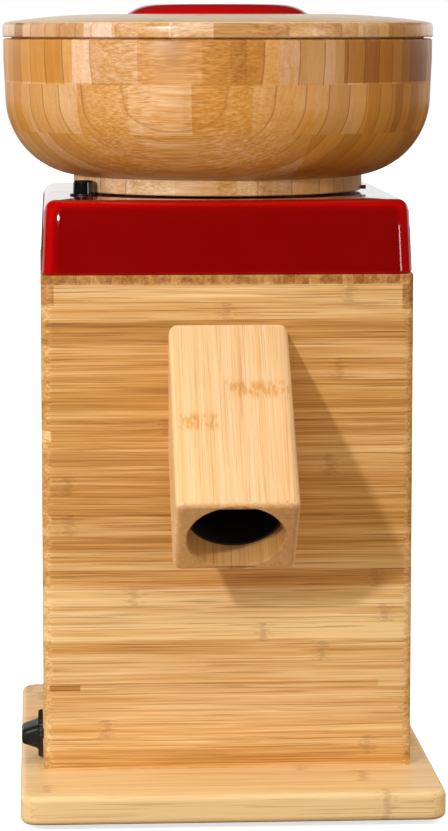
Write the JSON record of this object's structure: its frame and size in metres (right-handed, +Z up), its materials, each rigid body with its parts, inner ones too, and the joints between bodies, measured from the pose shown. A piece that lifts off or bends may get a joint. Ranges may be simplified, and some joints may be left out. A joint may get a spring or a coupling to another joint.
{
  "type": "electric grain mill",
  "caption": "Electric grain mill with a bamboo housing, red trim cover, slanted flour spout, round wooden hopper that turns on a thread to set the stones, and a lid.",
  "frame": {"origin": "middle of the whole object's footprint, on the table under the feet", "axes": "+Z up, -Y to the front, where the spout points, +X to the right seen from the front"},
  "size_m": [0.2418, 0.3196, 0.4332],
  "materials": {
    "bamboo": "satin lacquer",
    "bamboo_pale": "satin lacquer",
    "bamboo_dark": "satin lacquer",
    "red_plastic": "high gloss",
    "black_plastic": "fine texture",
    "black_gloss": "gloss",
    "white_plastic": "smooth",
    "foot_rubber": "matt",
    "steel": "bright",
    "core_steel": "blued",
    "alloy": "as cast",
    "copper_wire": "enamelled copper",
    "millstone": "coarse grit"
  },
  "bodies": {
    "housing": {"base_board": "bamboo_pale", "feet": "foot_rubber", "foot_screws": "steel", "vent_grille": "black_plastic", "grille_screws": "steel", "front_panel": "bamboo", "back_panel": "bamboo", "left_panel": "bamboo", "right_panel": "bamboo", "base_screws": "steel", "top_board": "bamboo_dark", "trim_cover": "red_plastic", "cover_screws": "steel", "spout_block": "bamboo_pale", "spout_screws": "steel", "chute_tube": "black_plastic", "mill_chamber": "alloy", "chamber_screws": "steel", "shaft_seal": "foot_rubber", "motor_lower_shield": "alloy", "motor_upper_shield": "alloy", "stator_core": "core_steel", "stator_windings": "copper_wire", "lower_bearing": "steel", "upper_bearing": "steel", "motor_bolts": "steel", "run_capacitor": "white_plastic", "capacitor_clip": "black_plastic", "switch_body": "black_plastic", "cord_gland": "black_plastic", "button_bush": "steel", "bush_nut": "steel", "button_spring": "steel"},
    "spindle": {"motor_shaft": "steel", "rotor": "core_steel", "cooling_fan": "black_plastic", "stone_carrier": "alloy", "carrier_bolt": "steel", "lower_stone": "millstone"},
    "collar": {"thread_collar": "alloy"},
    "hopper": {"stone_holder": "alloy", "upper_stone": "millstone", "foot_ring": "bamboo_pale", "index_pin": "steel", "hopper_bowl": "bamboo", "feed_funnel": "black_plastic", "holder_screws": "steel"},
    "lid": {"lid_board": "bamboo", "lid_disc": "red_plastic"},
    "button": {"stop_button": "black_gloss"},
    "knob": {"switch_knob": "black_plastic"}
  },
  "joints": [
    {"name": "mill_spin", "type": "hinge", "parent": "housing", "child": "spindle", "pos_m": [0, 0.02982, 0.2012], "axis": [0, 0, 1], "continuous": true},
    {"name": "hopper_lift", "type": "slide", "parent": "housing", "child": "collar", "axis": [0, 0, 1], "range_m": [-0.0008, 0.00125]},
    {"name": "hopper_turn", "type": "hinge", "parent": "collar", "child": "hopper", "pos_m": [0, 0.02982, 0.3312], "axis": [0, 0, 1], "range_deg": [-133, 219]},
    {"name": "lid_lift", "type": "slide", "parent": "hopper", "child": "lid", "axis": [0, 0, 1], "range_m": [0, 0.12]},
    {"name": "stop_button", "type": "slide", "parent": "housing", "child": "button", "axis": [0, 0, -1], "range_m": [0, 0.0074], "stiffness_N_per_m": 150, "springref_m": -0.003, "deforming": ["button_spring"]},
    {"name": "switch_turn", "type": "hinge", "parent": "housing", "child": "knob", "pos_m": [-0.1005, -0.04219, 0.033], "axis": [1, 0, 0], "range_deg": [0, 90]}
  ],
  "couplings": [
    {"joint": "hopper_lift", "follows": "hopper_turn", "m_per_rad": 0.00031831}
  ]
}
